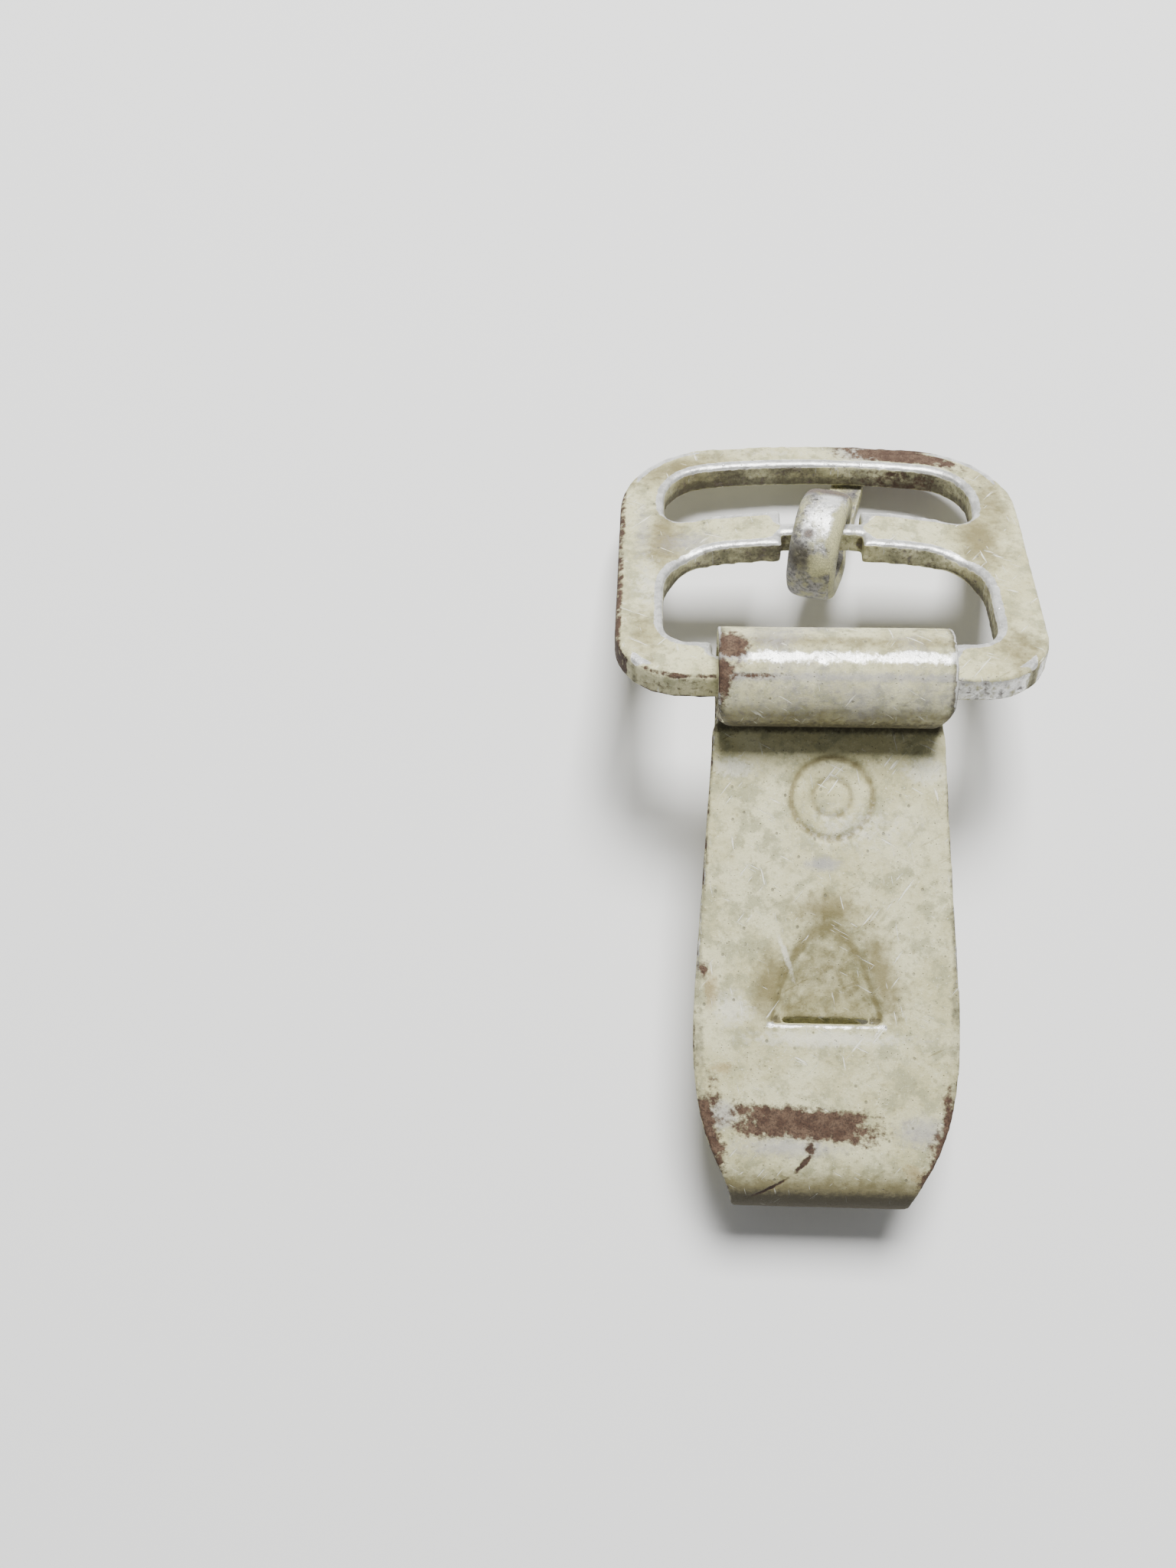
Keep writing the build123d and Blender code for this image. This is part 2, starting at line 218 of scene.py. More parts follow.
def remeshed(node, to_world, voxel, smoothing):
    """A closed mesh of even small faces in the node's shape, in its local frame."""
    mesh = frame["nodes"][node].data.copy()
    mesh.transform(to_world.inverted())
    mesh.materials.clear()
    rough = bpy.data.objects.new("rough", mesh)
    bpy.context.scene.collection.objects.link(rough)
    remesh = rough.modifiers.new("remesh", "REMESH")
    remesh.mode = "VOXEL"
    remesh.voxel_size = voxel
    smooth = rough.modifiers.new("smooth", "SMOOTH")
    smooth.iterations = smoothing
    graph = bpy.context.evaluated_depsgraph_get()
    fine = bpy.data.meshes.new_from_object(rough.evaluated_get(graph))
    bpy.data.objects.remove(rough)
    bpy.data.meshes.remove(mesh)
    return fine


def points_of(mesh):
    flat = np.empty(len(mesh.vertices) * 3, np.float32)
    mesh.vertices.foreach_get("co", flat)
    return flat.reshape(-1, 3).astype(float)


def normals_of(mesh):
    flat = np.empty(len(mesh.vertices) * 3, np.float32)
    mesh.vertex_normals.foreach_get("vector", flat)
    return flat.reshape(-1, 3).astype(float)


def edges_of(mesh):
    flat = np.empty(len(mesh.edges) * 2, np.int32)
    mesh.edges.foreach_get("vertices", flat)
    return flat.reshape(-1, 2)


def spread(values, edges, rounds):
    """Averages a value per vertex with its neighbours, again and again."""
    a, b = edges[:, 0], edges[:, 1]
    count = len(values)
    degree = np.bincount(a, minlength=count) + np.bincount(b, minlength=count)
    for _ in range(rounds):
        total = np.bincount(a, values[b], count) + np.bincount(b, values[a], count)
        values = (values + total) / (1 + degree)
    return values


def curvature(points, normals, edges, rounds):
    """Positive on outer edges and negative in creases, per vertex."""
    step = normals[edges[:, 1]] - normals[edges[:, 0]]
    along = points[edges[:, 1]] - points[edges[:, 0]]
    bend = np.einsum("ij,ij->i", step, along) / np.maximum(np.einsum("ij,ij->i", along, along), 1e-9)
    count = len(points)
    total = np.bincount(edges[:, 0], bend, count) + np.bincount(edges[:, 1], bend, count)
    degree = np.bincount(edges[:, 0], minlength=count) + np.bincount(edges[:, 1], minlength=count)
    return spread(total / np.maximum(degree, 1), edges, rounds)


def smoothstep(low, high, values):
    t = np.clip((values - low) / (high - low), 0, 1)
    return t * t * (3 - 2 * t)


def lumps(points, size, seed):
    """Smooth noise per vertex, about -1 to 1, with features of the given size."""
    offset = Vector((seed * 17.3, seed * -9.1, seed * 5.7))
    increment, gap, octaves = 1.0, 2.0, 3
    return np.array([noise.fractal(Vector(p) / size + offset, increment, gap, octaves) for p in points])


def ridge(values, middle, width):
    """1 at the middle, fading to 0 on both sides."""
    return np.exp(-((values - middle) / width) ** 2)


def patch(first, second, centre, radii, turn):
    """A soft spot: 1 at its centre, 0.5 on its ellipse and 0 from twice its radii."""
    c, s = cos(radians(turn)), sin(radians(turn))
    u = (first - centre[0]) * c + (second - centre[1]) * s
    v = (second - centre[1]) * c - (first - centre[0]) * s
    return np.clip(1 - 0.5 * np.hypot(u / radii[0], v / radii[1]), 0, 1)


def spots(first, second, rows):
    """The strongest of several soft spots."""
    return most(*[strength * patch(first, second, centre, radii, turn)
                  for strength, centre, radii, turn in rows])


def block(first, second, centre, halves, turn):
    """A soft spot with straight sides: 0.5 on its rectangle."""
    c, s = cos(radians(turn)), sin(radians(turn))
    u = (first - centre[0]) * c + (second - centre[1]) * s
    v = (second - centre[1]) * c - (first - centre[0]) * s
    return np.clip(1 - 0.5 * np.maximum(np.abs(u / halves[0]), np.abs(v / halves[1])), 0, 1)


def relaxed(points, edges, weight, rounds):
    """Points drawn towards their neighbours where the weight is above 0."""
    for _ in range(rounds):
        even = np.column_stack([spread(points[:, axis], edges, 1) for axis in range(3)])
        points = points + weight[:, None] * (even - points)
    return points


def settled(mesh, points):
    """Writes the points and gives the normals that go with them."""
    mesh.vertices.foreach_set("co", points.astype(np.float32).ravel())
    mesh.update()
    return normals_of(mesh)


def most(*masks):
    """The strongest of several masks."""
    return np.maximum.reduce(masks)


def finish_mesh(mesh, points, masks, name, node, body, material, to_world):
    """Writes the moved points and the masks, and makes the piece that stands for the node."""
    mesh.vertices.foreach_set("co", points.astype(np.float32).ravel())
    for mask, values in masks.items():
        layer = mesh.attributes.new(mask, "FLOAT", "POINT")
        layer.data.foreach_set("value", values.astype(np.float32))
    mesh.polygons.foreach_set("use_smooth", np.ones(len(mesh.polygons), bool))
    mesh.update()
    mesh.materials.clear()
    mesh.materials.append(material)
    piece = bpy.data.objects.new(name, mesh)
    bpy.context.scene.collection.objects.link(piece)
    piece.matrix_world = to_world
    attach(piece, body)
    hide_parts(node)
    return piece


# ---------------------------------------------------------------- material nodes

class Shader:
    """Short calls for building one node material, with coordinates in the piece's local millimetres."""

    def __init__(self, name):
        self.material = bpy.data.materials.new(name)
        self.material.use_nodes = True
        self.tree = self.material.node_tree
        self.tree.nodes.clear()
        self.output = self.node("ShaderNodeOutputMaterial")
        self.surface = self.node("ShaderNodeBsdfPrincipled")
        self.surface.inputs["Specular IOR Level"].default_value = 0.3
        self.link(self.surface.outputs["BSDF"], self.output.inputs["Surface"])
        self.place = self.node("ShaderNodeTexCoord").outputs["Object"]

    def node(self, kind, **settings):
        made = self.tree.nodes.new(kind)
        for key, value in settings.items():
            setattr(made, key, value)
        return made

    def link(self, source, target):
        self.tree.links.new(source, target)

    def feed(self, target, value):
        """Links a socket, or sets a number or colour."""
        if isinstance(value, bpy.types.NodeSocket):
            self.link(value, target)
        elif isinstance(value, tuple) and len(value) == 3 and target.type == "RGBA":
            target.default_value = (*value, 1.0)
        else:
            target.default_value = value

    def mask(self, name):
        return self.node("ShaderNodeAttribute", attribute_name=name).outputs["Fac"]

    def math(self, operation, a, b=0.0, clamp=False):
        made = self.node("ShaderNodeMath", operation=operation, use_clamp=clamp)
        self.feed(made.inputs[0], a)
        self.feed(made.inputs[1], b)
        return made.outputs[0]

    def stretched(self, scale, turn=(0.0, 0.0, 0.0)):
        """The local coordinates, turned and then scaled along each axis."""
        made = self.node("ShaderNodeMapping")
        made.vector_type = "TEXTURE"
        made.inputs["Rotation"].default_value = tuple(radians(angle) for angle in turn)
        made.inputs["Scale"].default_value = tuple(1.0 / value for value in scale)
        self.link(self.place, made.inputs["Vector"])
        return made.outputs[0]

    def noise(self, per_mm, detail=3.0, roughness=0.55, where=None):
        made = self.node("ShaderNodeTexNoise")
        self.link(where or self.place, made.inputs["Vector"])
        made.inputs["Scale"].default_value = per_mm
        made.inputs["Detail"].default_value = detail
        made.inputs["Roughness"].default_value = roughness
        return made.outputs["Fac"]

    def cells(self, per_mm, where=None):
        made = self.node("ShaderNodeTexVoronoi")
        self.link(where or self.place, made.inputs["Vector"])
        made.inputs["Scale"].default_value = per_mm
        return made.outputs["Distance"]

    def step(self, value, low, high):
        """0 below low and 1 above high, smoothly between; low may be above high."""
        made = self.node("ShaderNodeMapRange", interpolation_type="SMOOTHSTEP")
        self.feed(made.inputs["Value"], value)
        made.inputs["From Min"].default_value = low
        made.inputs["From Max"].default_value = high
        return made.outputs["Result"]

    def mix(self, factor, a, b):
        made = self.node("ShaderNodeMix", data_type="RGBA")
        self.feed(made.inputs[0], factor)
        self.feed(made.inputs[6], a)
        self.feed(made.inputs[7], b)
        return made.outputs[2]

    def tint(self, colour, mask, strength, other):
        """The colour turned towards another by a mask and a strength."""
        return self.mix(self.math("MULTIPLY", mask, strength), colour, other)

    def blend(self, factor, a, b):
        """Mixes plain numbers."""
        made = self.node("ShaderNodeMix", data_type="FLOAT")
        self.feed(made.inputs[0], factor)
        self.feed(made.inputs[2], a)
        self.feed(made.inputs[3], b)
        return made.outputs[0]

    def ragged(self, mask, amount, grain, sharpness):
        """A mask's 0.5 line broken up by noise."""
        shaken = self.math("ADD", mask, self.math("MULTIPLY", self.math("SUBTRACT", grain, 0.5), amount))
        return self.step(shaken, 0.5 - sharpness, 0.5 + sharpness)

    def finish(self, colour, metallic, roughness, height, bump_mm):
        self.feed(self.surface.inputs["Base Color"], colour)
        self.feed(self.surface.inputs["Metallic"], metallic)
        self.feed(self.surface.inputs["Roughness"], roughness)
        bump = self.node("ShaderNodeBump")
        bump.inputs["Strength"].default_value = 1.0
        bump.inputs["Distance"].default_value = bump_mm * MM
        self.feed(bump.inputs["Height"], height)
        self.link(bump.outputs["Normal"], self.surface.inputs["Normal"])
        return self.material


# Colours, linear
CREAM = (0.50, 0.47, 0.255)
CREAM_LIGHT = (0.64, 0.615, 0.38)
CHALK = (0.84, 0.83, 0.70)
GREY_GREEN = (0.31, 0.305, 0.175)
KHAKI = (0.165, 0.135, 0.052)
# Dark colour for grime, pits and painted shade
DARK_GRIME_AND_SHADE = (0.06, 0.052, 0.035)
SPECK = (0.13, 0.12, 0.085)
RUST = (0.070, 0.040, 0.026)
RUST_PALE = (0.125, 0.080, 0.052)
RUST_DARK = (0.030, 0.019, 0.014)
OCHRE = (0.28, 0.18, 0.06)
VIOLET_GREY = (0.30, 0.29, 0.33)
BRIGHT_STEEL = (0.86, 0.86, 0.83)
WORN_STEEL = (0.60, 0.60, 0.57)
DULL_STEEL = (0.32, 0.31, 0.29)
DARK_STEEL = (0.12, 0.115, 0.115)


def scratches(shader, turn, per_mm, keep, length=14.0):
    """Thin straight lines in one direction."""
    where = shader.stretched((per_mm, per_mm / length, per_mm / length), (0.0, 0.0, turn))
    lines = shader.noise(1.0, 2.0, 0.5, where)
    gate_place = shader.stretched((1.0, 1.0, 1.0), (0.0, 0.0, turn * 1.7))
    gate = shader.step(shader.noise(0.35, 1.0, 0.5, gate_place), 0.5, 0.6)
    return shader.math("MULTIPLY", shader.step(lines, keep, keep + 0.03), gate)


def painted_steel(name, band_scratches):
    """Old pale paint over steel: mottled, stained, darker in creases, rubbed off the edges and rusted through,
    with painted shade and painted highlights carried in its masks.
    """
    shader = Shader(name)
    broad = shader.noise(0.2, 4.0, 0.6)
    cloud = shader.noise(0.55, 5.0, 0.65)
    middle = shader.noise(1.3, 4.0, 0.6)
    fine = shader.noise(7.0, 3.0, 0.65)
    grain = shader.noise(2.4, 6.0, 0.7)
    edge = shader.noise(1.7, 4.0, 0.6)
    colour = shader.mix(shader.step(broad, 0.38, 0.62), CREAM, CREAM_LIGHT)
    colour = shader.tint(colour, shader.step(cloud, 0.48, 0.62), 0.75, GREY_GREEN)
    colour = shader.tint(colour, shader.step(cloud, 0.46, 0.36), 0.5, CREAM_LIGHT)
    colour = shader.tint(colour, shader.step(middle, 0.52, 0.68), 0.5, GREY_GREEN)
    colour = shader.tint(colour, shader.step(grain, 0.54, 0.66), 0.4, KHAKI)
    colour = shader.tint(colour, shader.step(fine, 0.42, 0.30), 0.5, GREY_GREEN)
    colour = shader.tint(colour, shader.step(fine, 0.60, 0.72), 0.6, CHALK)

    # Khaki stains, and painted shade: this mask also darkens the bump's hollow, the hook's bend, undersides and
    # the barrel's near side
    stain_and_shade = shader.ragged(shader.mask("stain_and_shade"), 0.9, middle, 0.4)
    colour = shader.tint(colour, stain_and_shade, 0.85, KHAKI)
    violet = shader.ragged(shader.mask("violet"), 0.9, grain, 0.3)
    colour = shader.tint(colour, violet, 0.6, VIOLET_GREY)
    ochre = shader.ragged(shader.mask("ochre"), 1.1, grain, 0.25)
    colour = shader.tint(colour, ochre, 0.5, OCHRE)
    # Chalky worn patches, some of them painted highlights
    worn_and_highlight = shader.ragged(shader.mask("worn_and_highlight"), 1.2, grain, 0.2)
    colour = shader.tint(colour, worn_and_highlight, 0.5, CHALK)

    specks = shader.step(shader.cells(1.1, shader.stretched((1.0, 0.8, 1.0))), 0.16, 0.08)
    specks = shader.math("MULTIPLY", specks, shader.step(shader.noise(0.45, 3.0), 0.46, 0.58))
    dots = shader.step(shader.cells(2.6, shader.stretched((1.0, 1.2, 1.0))), 0.17, 0.08)
    dots = shader.math("MULTIPLY", dots, shader.step(shader.noise(0.8, 3.0), 0.48, 0.58))
    specks = shader.math("MAXIMUM", specks, dots)
    colour = shader.tint(colour, specks, 0.7, SPECK)

    light_lines = scratches(shader, 62.0, 5.0, 0.66)
    light_lines = shader.math("MAXIMUM", light_lines, scratches(shader, -38.0, 4.0, 0.67))
    light_lines = shader.math("MAXIMUM", light_lines, scratches(shader, 12.0, 4.5, 0.68))
    colour = shader.tint(colour, light_lines, 0.75, CHALK)
    dark_lines = scratches(shader, 118.0, 3.5, 0.67, 9.0)
    colour = shader.tint(colour, dark_lines, 0.5, KHAKI)

    # Near-black grime, and painted shade and shadow: this mask also darkens the bend's underside, the barrel's
    # near side, the seam under the barrel and the low window walls
    grime_and_shade = shader.ragged(shader.mask("grime_and_shade"), 0.8, grain, 0.3)
    colour = shader.tint(colour, grime_and_shade, 0.88, DARK_GRIME_AND_SHADE)

    bare = shader.ragged(shader.mask("bare"), 0.9, edge, 0.12)
    steel = shader.mix(shader.step(middle, 0.40, 0.64), BRIGHT_STEEL, WORN_STEEL)
    if band_scratches:
        lines = shader.noise(1.0, 3.0, 0.6, shader.stretched((9.0, 0.35, 0.35)))
        steel = shader.mix(shader.step(lines, 0.42, 0.62), steel, WORN_STEEL)
    colour = shader.mix(bare, colour, steel)

    rust = shader.ragged(shader.mask("rust"), 1.0, edge, 0.14)
    rust_colour = shader.mix(shader.step(middle, 0.38, 0.62), RUST, RUST_PALE)
    rust_colour = shader.tint(rust_colour, shader.step(fine, 0.54, 0.40), 0.6, RUST_DARK)
    # Darker rust colour; over the hook's bend this is painted shade
    rust_colour = shader.mix(shader.mask("dark_rust_and_shade"), rust_colour, RUST_DARK)
    colour = shader.mix(rust, colour, rust_colour)

    not_rust = shader.math("SUBTRACT", 1.0, rust)
    metallic = shader.math("MULTIPLY", shader.math("MULTIPLY", bare, 0.85), not_rust)
    roughness = shader.blend(bare, shader.blend(worn_and_highlight, 0.6, 0.45), 0.42)
    roughness = shader.blend(shader.math("MAXIMUM", rust, grime_and_shade), roughness, 0.85)
    shake = shader.math("MULTIPLY", shader.math("SUBTRACT", fine, 0.5), 0.25)
    roughness = shader.math("ADD", roughness, shake)

    height = shader.math("ADD", shader.math("MULTIPLY", fine, 0.35), shader.math("MULTIPLY", grain, 0.9))
    height = shader.math("SUBTRACT", height, shader.math("MULTIPLY", rust, 0.9))
    height = shader.math("SUBTRACT", height, shader.math("MULTIPLY", bare, 0.4))
    height = shader.math("SUBTRACT", height, shader.math("MULTIPLY", specks, 0.8))
    height = shader.math("SUBTRACT", height, shader.math("MULTIPLY", light_lines, 0.5))
    return shader.finish(colour, metallic, roughness, height, 0.05)


def bare_steel(name):
    """The tongue: mostly bare and dull, with brown rust on its crown and traces of paint."""
    shader = Shader(name)
    middle = shader.noise(0.9, 4.0, 0.6)
    grain = shader.noise(3.5, 5.0, 0.7)
    fine = shader.noise(9.0, 3.0, 0.65)
    steel = shader.mix(shader.step(grain, 0.36, 0.62), DARK_STEEL, DULL_STEEL)
    bright = shader.ragged(shader.mask("bright"), 1.1, grain, 0.3)
    steel = shader.mix(bright, steel, BRIGHT_STEEL)
    pits = shader.step(shader.cells(2.2), 0.16, 0.07)
    steel = shader.tint(steel, pits, 0.6, DARK_GRIME_AND_SHADE)
    paint = shader.ragged(shader.mask("paint"), 1.0, middle, 0.14)
    paint_colour = shader.mix(shader.step(fine, 0.4, 0.65), GREY_GREEN, CREAM)
    colour = shader.mix(paint, steel, paint_colour)
    rust = shader.ragged(shader.mask("rust"), 1.0, grain, 0.18)
    rust_colour = shader.mix(shader.step(fine, 0.38, 0.62), RUST_DARK, RUST_PALE)
    colour = shader.tint(colour, rust, 0.85, rust_colour)
    # Dark grime, and painted shade inside the loop
    grime_and_shade = shader.ragged(shader.mask("grime_and_shade"), 0.7, grain, 0.3)
    colour = shader.tint(colour, grime_and_shade, 0.8, DARK_GRIME_AND_SHADE)

    cover = shader.math("MAXIMUM", paint, rust)
    metallic = shader.math("MULTIPLY", shader.math("SUBTRACT", 1.0, cover), 0.7)
    roughness = shader.blend(bright, 0.55, 0.42)
    roughness = shader.blend(cover, roughness, 0.62)
    shake = shader.math("MULTIPLY", shader.math("SUBTRACT", fine, 0.5), 0.3)
    roughness = shader.math("ADD", roughness, shake)
    height = shader.math("ADD", shader.math("MULTIPLY", grain, 0.9), shader.math("MULTIPLY", paint, 0.8))
    height = shader.math("SUBTRACT", height, shader.math("MULTIPLY", pits, 0.8))
    return shader.finish(colour, metallic, roughness, height, 0.06)


# ---------------------------------------------------------------- the three pieces

def make_frame_piece(to_world):
    """The stamped frame: bright rubbed window rims, a brown left side and far right corner, and painted shade low
    on the inner window walls and on faces turned downwards.
    """
    mesh = remeshed("buckle_frame", to_world, FRAME_VOXEL, FRAME_SMOOTHING)
    points, edges = points_of(mesh), edges_of(mesh)
    x, y, z = points.T
    bar_ends = smoothstep(2.8, 1.2, np.abs(np.abs(x) - BAR_END))
    bar_ends = bar_ends * smoothstep(5.2, 3.4, np.abs(y - BAR_MIDDLE))
    points = relaxed(points, edges, bar_ends, BAR_END_ROUNDS)
    normals = settled(mesh, points)
    bend = curvature(points, normals, edges, CURVATURE_ROUNDS)
    x, y, z = points.T
    middle = (FRAME_FRONT + FRAME_FAR) / 2
    depth_x = FRAME_HALF_WIDTH - np.abs(x)
    depth_y = np.minimum(y - FRAME_FRONT, FRAME_FAR - y)
    outward_x = normals[:, 0] * np.sign(x) * (depth_x < depth_y)
    outward_y = normals[:, 1] * np.sign(y - middle) * (depth_x >= depth_y)
    outer = smoothstep(1.7, 1.0, np.minimum(depth_x, depth_y)) * (outward_x + outward_y > -0.2)
    inner = 1 - outer
    up = smoothstep(0.0, 0.5, normals[:, 2])
    sharp = smoothstep(0.35, 1.1, bend)
    crease = smoothstep(-0.15, -0.7, bend)
    inner_rim = smoothstep(0.10, 0.42, spread(np.maximum(bend, 0), edges, RIM_ROUNDS)) * up * inner
    outer_rim = sharp * outer
    side = smoothstep(0.55, 0.25, np.abs(normals[:, 2]))
    broad = lumps(points, 6.0, 1)

    left_side = side * smoothstep(-15.6, -16.2, x) * smoothstep(-0.5, 5.0, 27.0 - y)
    left_edge = smoothstep(0.9, 0.3, depth_x) * (x < 0) * smoothstep(-1.0, 1.0, y) * smoothstep(26, 22, y)
    near_left = outer * smoothstep(2.5, -0.5, y) * (x < -9)
    far_right_edge = outer_rim * smoothstep(24, 27, y) * smoothstep(9, 13, x)
    near_right_side = side * outer * smoothstep(4, 1, y) * (x > 0)
    masks = {
        "bare": most(
            inner_rim * (0.86 + 0.3 * broad),
            outer_rim * (0.32 + 0.4 * broad) * (x > 0),
            side * inner * 0.30,
            near_right_side * 0.62),
        "rust": most(
            left_side * 0.72,
            left_edge * (0.62 + 0.3 * broad),
            spots(x, y, FRAME_RUST) * (1 - inner_rim),
            outer_rim * (0.30 + 0.26 * broad),
            near_left * sharp * 0.62,
            side * 0.36,
            far_right_edge * 0.6),
        "dark_rust_and_shade": np.clip(0.35 * side + 0.3 * outer_rim, 0, 1),
        "stain_and_shade": most(
            crease * 0.8,
            spots(x, y, FRAME_STAINS),
            # Painted shade on faces turned downwards
            smoothstep(-0.2, -0.8, normals[:, 2]) * 0.45),
        "grime_and_shade": most(
            crease * 0.55,
            # Inner window walls darkened with noisy grime and painted shade, most towards their lower edge
            side * inner * smoothstep(0.8, -0.6, z) * 0.72,
            side * inner * 0.45 * (1 + broad)),
        "worn_and_highlight": spots(x, y, FRAME_WORN),
        "violet": spots(x, y, FRAME_VIOLET),
        "ochre": np.zeros(len(points)),
    }
    lift = 0.018 * lumps(points, 2.2, 2) + 0.05 * lumps(points, 0.9, 3) * sharp - 0.015 * crease
    points = points + normals * lift[:, None]
    return finish_mesh(mesh, points, masks, "stamped_frame", "buckle_frame", "frame",
                       painted_steel("frame_paint", False), to_world)


def ring_stamp(x, y):
    """Two plain rings, pressed in below the barrel: depth from 0 to 1."""
    distance = np.hypot(x - RING_CENTRE[0], y - RING_CENTRE[1])
    outer = ridge(distance, RING_OUTER, RING_OUTER_WIDTH)
    inner = 0.8 * ridge(distance, RING_INNER, RING_INNER_WIDTH)
    return np.maximum(outer, inner)


def make_hook_piece(to_world):
    """The hook plate: a polished band on the barrel, a stained bump with painted shade in its hollow, a rust band
    before the bend, and painted shade over the bend, round the barrel and below it.
    """
    mesh = remeshed("hook_plate", to_world, PLATE_VOXEL, PLATE_SMOOTHING)
    points, normals, edges = points_of(mesh), normals_of(mesh), edges_of(mesh)
    bend = curvature(points, normals, edges, CURVATURE_ROUNDS)
    x, y, z = points.T
    sharp = smoothstep(0.45, 1.3, bend)
    crease = smoothstep(-0.12, -0.6, bend)
    broad = lumps(points, 5.0, 4)
    on_barrel = (y > -BARREL_RADIUS - 0.1) & (z > PLATE_TOP + 0.05)
    outside_barrel = on_barrel & (np.hypot(y, z) > BARREL_RADIUS - 0.3)
    turn = np.degrees(np.arctan2(z, y))
    top = (normals[:, 2] > 0.5) & ~on_barrel & (z > PLATE_TOP - 3.0)
    bend_y, bend_z = BEND_CENTRE
    past_bend = y < bend_y
    around = np.degrees(np.arctan2(z - bend_z, -(y - bend_y)))
    outer_face = past_bend & (np.hypot(y - bend_y, z - bend_z) > BEND_INSIDE)
    run = np.where(past_bend, -bend_y + np.radians(90.0 - around) * BEND_RADIUS, -y)
    shown = top | outer_face
    above_foot = smoothstep(52.0, 46.0, run)
    rim_depth = np.interp(run, PLATE_RUNS, PLATE_HALF_WIDTHS) - np.abs(x)
    edge_face = (np.abs(normals[:, 0]) > 0.6) & (rim_depth < 0.8)
    under = (normals[:, 2] < -0.3) & ~on_barrel & ~outer_face

    whole_turn = turn % 360
    curl_end = smoothstep(355, 300, whole_turn)
    band = ridge(turn, 74.0, 12.0) * outside_barrel
    smudge = ridge(turn, 97.0, 8.0) * outside_barrel
    ends = outside_barrel * smoothstep(7.9, 8.9, np.abs(x))
    rust_band = block(x, run, (-1.9, 34.6), (4.9, 1.1), 3.0) * shown * 1.1
    crack = spots(x, run, PLATE_CRACKS) * shown
    # Painted shade for the pressed bump: its hollow darkens with depth, and a dark line runs along the bell's
    # outline
    hollow = (np.abs(x) < 6.5) & (run > 16.5) & (run < 27.2) & ~on_barrel & (normals[:, 2] > 0.2)
    bell = hollow * ridge(z, PLATE_TOP - 0.4, 0.3)
    hollow = hollow * smoothstep(PLATE_TOP - 0.1, PLATE_TOP - 1.0, z)
    masks = {
        "bare": most(
            band * (0.66 + 0.1 * broad),
            ends * sharp * 0.6,
            sharp * (0.34 + 0.3 * broad) * ~on_barrel,
            shown * smoothstep(0.35, 0.05, rim_depth) * smoothstep(30, 20, run) * 0.62,
            shown * ridge(run, SLIT_RUN, 0.35) * (np.abs(x) < 4.7) * 0.6),
        "rust": most(
            spots(x, turn, BARREL_RUST) * outside_barrel,
            rust_band,
            spots(x, run, PLATE_EDGE_RUST) * shown,
            crack * 0.95,
            shown * smoothstep(0.25, 0.0, rim_depth) * smoothstep(28, 36, run) * 0.75,
            edge_face * (0.46 + 0.2 * broad),
            under * 0.34 * (1 + broad)),
        # Rust darkened on cracks and edge faces, and painted shade where the plate turns down into the bend
        "dark_rust_and_shade": np.clip(
            crack * 0.6 + edge_face * 0.5 + smoothstep(38, 44, run) * above_foot * 0.6 * shown, 0, 1),
        "stain_and_shade": most(
            crease * 0.75,
            # Khaki spots round the bump, partly stain and partly painted shade, then painted shade in the hollow
            # and along its outline
            spots(x, run, BUMP_STAINS_AND_SHADE) * shown,
            hollow * 0.55,
            bell * 0.8,
            # Painted shade: the plate darkens as it turns down into the bend, away from the light
            shown * smoothstep(37.0, 40.5, run) * above_foot * 0.9,
            # Painted shade on the underside
            under * 0.45,
            # Painted shade on the barrel's near side, turned away from the light
            outside_barrel * smoothstep(118, 150, whole_turn) * curl_end * 0.6,
            ring_stamp(x, y) * top * 0.8,
            outside_barrel * ridge(turn, 52.0, 14.0) * 0.62),
        "grime_and_shade": most(
            crease * 0.6,
            # Painted shade, darker still towards the bottom of the bend
            shown * smoothstep(38.8, 42.0, run) * above_foot * 0.95,
            outside_barrel * ends * 0.75,
            shown * smoothstep(0.7, 0.2, rim_depth) * (0.52 + 0.3 * broad),
            # Painted shadow along the plate just below the barrel
            shown * smoothstep(4.6, 3.7, run) * (run > 3.4) * 0.75,
            # Painted shade, deepest low on the barrel's near side
            outside_barrel * smoothstep(140, 175, whole_turn) * curl_end * 0.7),
        # Chalky worn patches, among them painted highlights below the barrel and on the bump's left slope
        "worn_and_highlight": spots(x, run, PLATE_WORN_AND_HIGHLIGHTS) * shown,
        "violet": most(
            smudge * 0.72,
            spots(x, run, PLATE_VIOLET) * shown,
            outside_barrel * 0.34 * (1 + broad)),
        "ochre": most(
            spots(x, run, PLATE_OCHRE) * shown,
            spots(x, turn, BARREL_OCHRE) * outside_barrel),
    }
    lift = 0.02 * lumps(points, 3.0, 5) + 0.035 * lumps(points, 1.0, 6) * sharp
    lift = lift - RING_DEPTH * ring_stamp(x, y) * top - 0.05 * np.clip(rust_band, 0, 0.6) - 0.05 * crack
    points = points + normals * lift[:, None]
    return finish_mesh(mesh, points, masks, "folded_hook_plate", "hook_plate", "hook",
                       painted_steel("hook_paint", True), to_world)


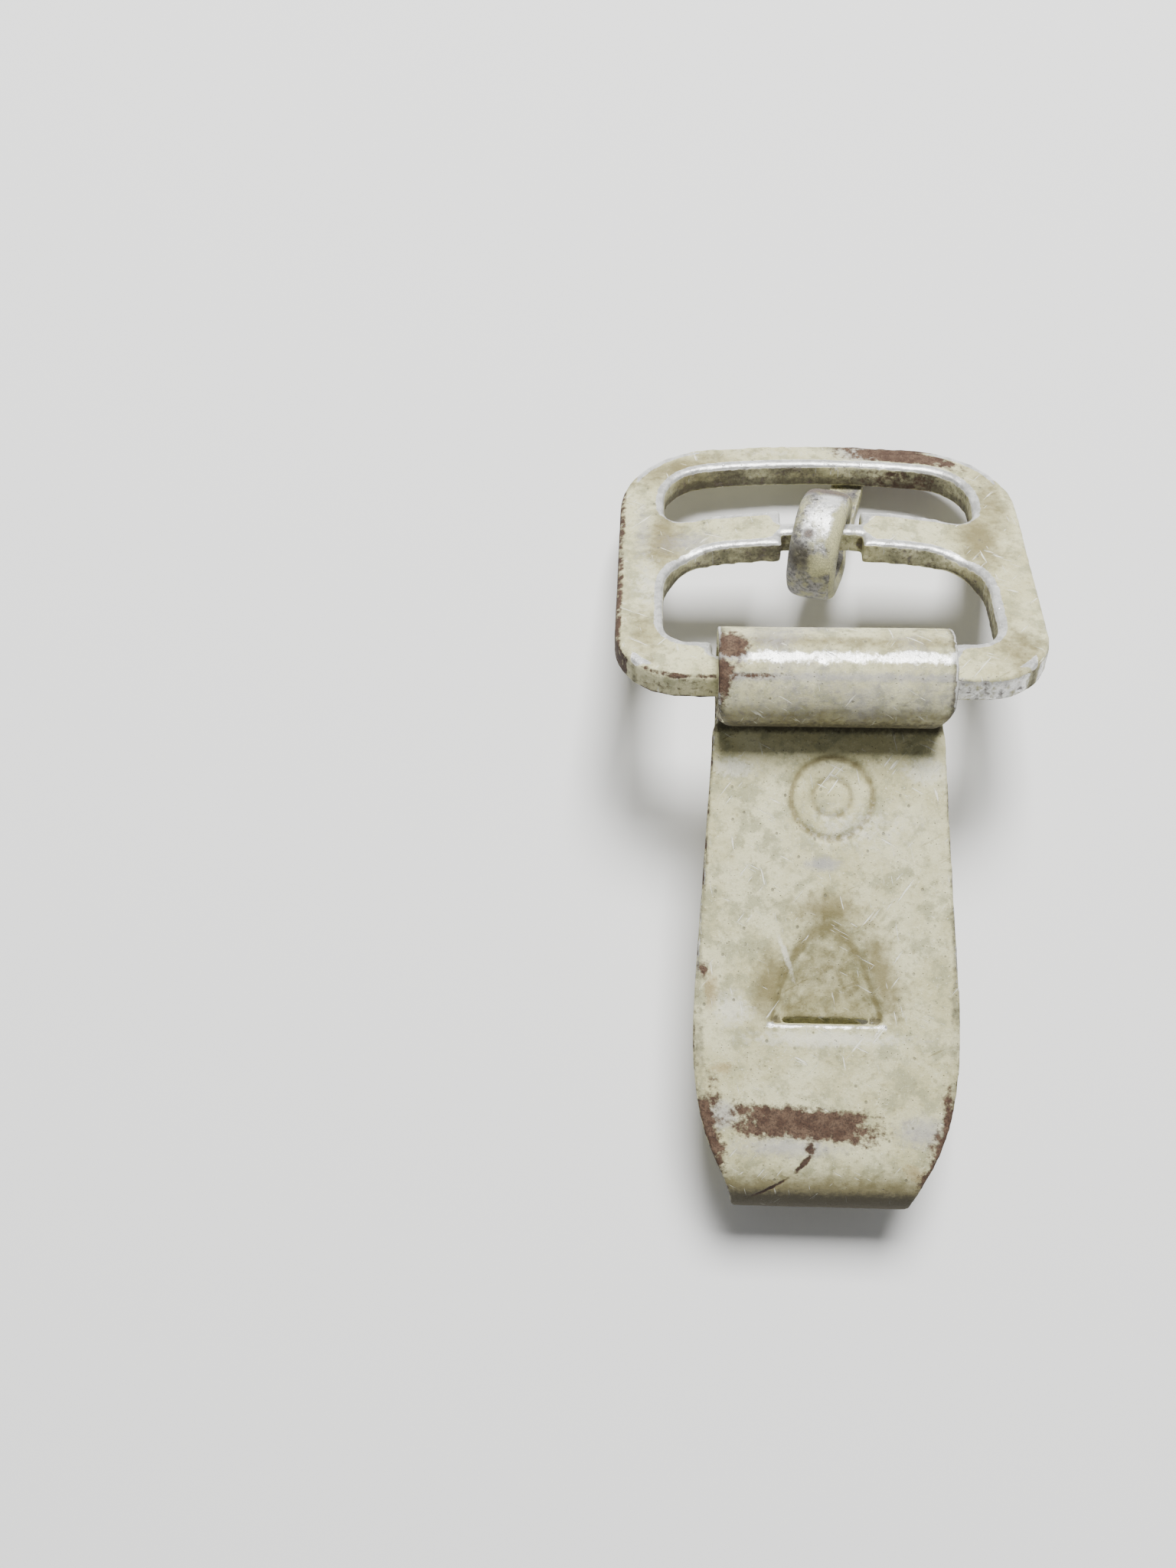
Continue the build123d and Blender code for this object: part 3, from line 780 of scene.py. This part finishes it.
def make_tongue_piece(to_world):
    """The curled tongue: silvery where it has been rubbed, brown over its crown, with painted shade inside the
    loop.
    """
    mesh = remeshed("tongue", to_world, TONGUE_VOXEL, TONGUE_SMOOTHING)
    points, edges = points_of(mesh), edges_of(mesh)
    points = relaxed(points, edges, smoothstep(7.0, 4.0, points[:, 1]), LOOP_ROUNDS)
    normals = settled(mesh, points)
    bend = curvature(points, normals, edges, CURVATURE_ROUNDS)
    x, y, z = points.T
    turn = np.degrees(np.arctan2(z, y))
    outside = np.hypot(y, z) > LOOP_INSIDE
    crease = smoothstep(-0.3, -0.9, bend)
    masks = {
        "bright": most(
            spots(x, turn, TONGUE_BRIGHT) * outside,
            smoothstep(0.8, 1.8, bend) * 0.62),
        "rust": most(
            spots(x, turn, TONGUE_RUST) * outside,
            (y > 5.0) * 0.42),
        "paint": most(
            spots(x, turn, TONGUE_PAINT) * outside,
            (normals[:, 0] > 0.6) * 0.62,
            (y > 6.0) * 0.55,
            outside * 0.42),
        "grime_and_shade": most(
            crease * 0.6,
            # Painted shade inside the loop, where it wraps the frame's neck
            (~outside) * 0.45 * (y < 4.0),
            spots(x, turn, TONGUE_GRIME) * outside),
    }
    lift = 0.03 * lumps(points, 1.5, 7)
    points = points + normals * lift[:, None]
    return finish_mesh(mesh, points, masks, "curled_tongue", "tongue", "tongue",
                       bare_steel("tongue_steel"), to_world)


# ---------------------------------------------------------------- surroundings

def add_camera():
    azimuth, elevation = radians(CAMERA_AZIMUTH), radians(CAMERA_ELEVATION)
    forward = Vector((sin(azimuth) * cos(elevation), cos(azimuth) * cos(elevation), -sin(elevation)))
    data = bpy.data.cameras.new("camera")
    data.sensor_width = CAMERA_SENSOR
    data.lens = CAMERA_LENS
    data.clip_start = CAMERA_NEAR
    camera = bpy.data.objects.new("camera", data)
    turn = forward.to_track_quat("-Z", "Y").to_matrix().to_4x4()
    roll = Matrix.Rotation(radians(CAMERA_ROLL), 4, "Z")
    camera.matrix_world = Matrix.Translation(CAMERA_AIM - CAMERA_DISTANCE * forward) @ turn @ roll
    bpy.context.scene.collection.objects.link(camera)
    bpy.context.scene.camera = camera


def add_floor():
    """A wide pale sheet, just under the object."""
    mesh = bpy.data.meshes.new("floor")
    half = FLOOR_HALF
    corners = [(-half, -half, 0), (half, -half, 0), (half, half, 0), (-half, half, 0)]
    mesh.from_pydata(corners, [], [(0, 1, 2, 3)])
    floor = bpy.data.objects.new("floor", mesh)
    floor.location.z = -FLOOR_DROP
    bpy.context.scene.collection.objects.link(floor)
    material = bpy.data.materials.new("floor")
    material.use_nodes = True
    surface = material.node_tree.nodes["Principled BSDF"]
    surface.inputs["Base Color"].default_value = FLOOR_COLOUR
    surface.inputs["Roughness"].default_value = 0.9
    mesh.materials.append(material)


def add_light(name, azimuth, elevation, distance, size, power):
    """A square soft box aimed at the object. Azimuth 0 is behind the far bar."""
    a, e = radians(azimuth), radians(elevation)
    place = Vector((sin(a) * cos(e), cos(a) * cos(e), sin(e))) * distance
    data = bpy.data.lights.new(name, "AREA")
    data.shape = "SQUARE"
    data.size = size
    data.energy = power
    light = bpy.data.objects.new(name, data)
    aim = (-place).to_track_quat("-Z", "Y").to_matrix().to_4x4()
    light.matrix_world = Matrix.Translation(place) @ aim
    bpy.context.scene.collection.objects.link(light)


def add_surroundings():
    add_camera()
    add_floor()
    add_light("key", azimuth=6.0, elevation=62.0, distance=0.6, size=0.20, power=8.5)
    add_light("fill", azimuth=200.0, elevation=50.0, distance=0.8, size=0.6, power=0.3)
    world = bpy.data.worlds.new("studio")
    world.use_nodes = True
    background = world.node_tree.nodes["Background"]
    background.inputs["Color"].default_value = WORLD_COLOUR
    background.inputs["Strength"].default_value = WORLD_STRENGTH
    bpy.context.scene.world = world


frames = local_frames()
make_frame_piece(frames["buckle_frame"])
make_hook_piece(frames["hook_plate"])
make_tongue_piece(frames["tongue"])
add_surroundings()
